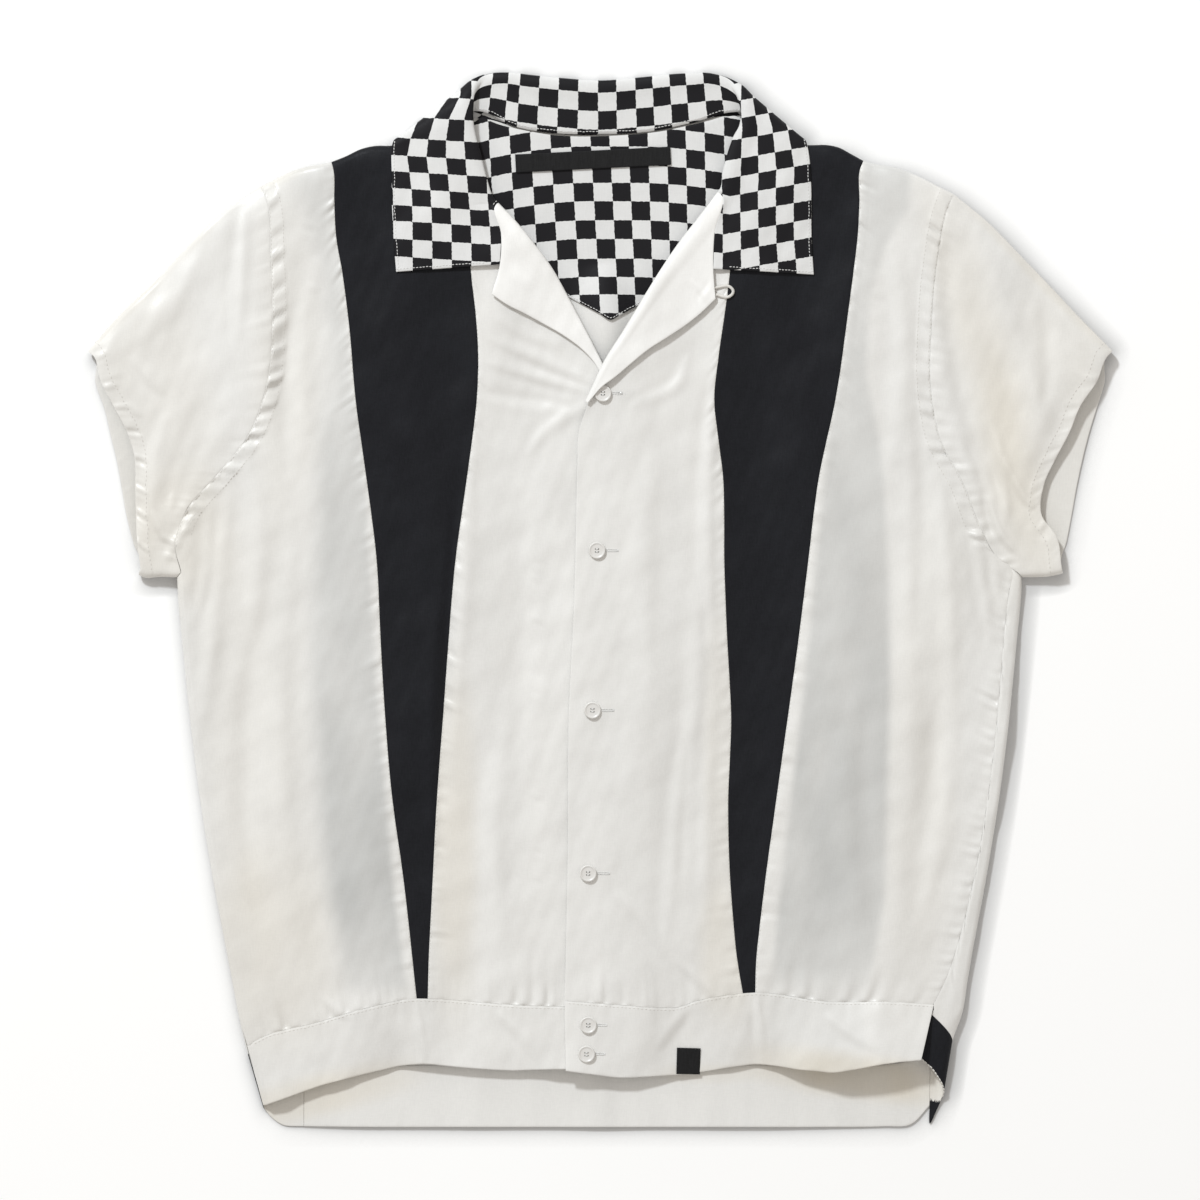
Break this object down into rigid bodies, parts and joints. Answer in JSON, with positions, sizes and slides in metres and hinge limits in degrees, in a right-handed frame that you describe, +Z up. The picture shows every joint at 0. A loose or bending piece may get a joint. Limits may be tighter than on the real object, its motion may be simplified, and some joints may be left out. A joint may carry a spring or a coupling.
{
  "type": "bowling shirt",
  "caption": "Short-sleeved camp-collar bowling shirt, buttoned and laid flat, with tapered contrast insets, checked collar, turned-back lapels and a waistband.",
  "frame": {"origin": "centre of the shirt's outline, on the surface it lies on", "axes": "+X towards the wearer's left, +Y from hem to collar, +Z up from the surface, out of the shirt's front"},
  "size_m": [0.6861, 0.7064, 0.0161],
  "materials": {
    "off_white_satin": "satin weave",
    "black_satin": "satin weave",
    "check_satin": "printed black and white check on satin weave",
    "black_ribbon": "woven ribbon, bare",
    "off_white_cord": "corded thread",
    "pearl_plastic": "pearly, slightly see-through"
  },
  "bodies": {
    "root": {"back": "off_white_satin", "yoke_inner": "check_satin", "front_right": "off_white_satin", "front_left": "off_white_satin", "inset_right": "black_satin", "inset_left": "black_satin", "side_front_right": "off_white_satin", "side_front_left": "off_white_satin", "sleeve_right": "off_white_satin", "sleeve_left": "off_white_satin", "facing_right": "off_white_satin", "facing_left": "off_white_satin", "collar": "check_satin", "band_front_right": "off_white_satin", "band_front_left": "off_white_satin", "band_back": "off_white_satin", "band_side_right": "black_satin", "band_side_left": "black_satin", "loop": "off_white_cord", "neck_label": "black_ribbon", "hem_tag": "black_ribbon", "button_1": "pearl_plastic", "button_2": "pearl_plastic", "button_3": "pearl_plastic", "button_4": "pearl_plastic", "band_button_1": "pearl_plastic", "band_button_2": "pearl_plastic"}
  },
  "joints": []
}
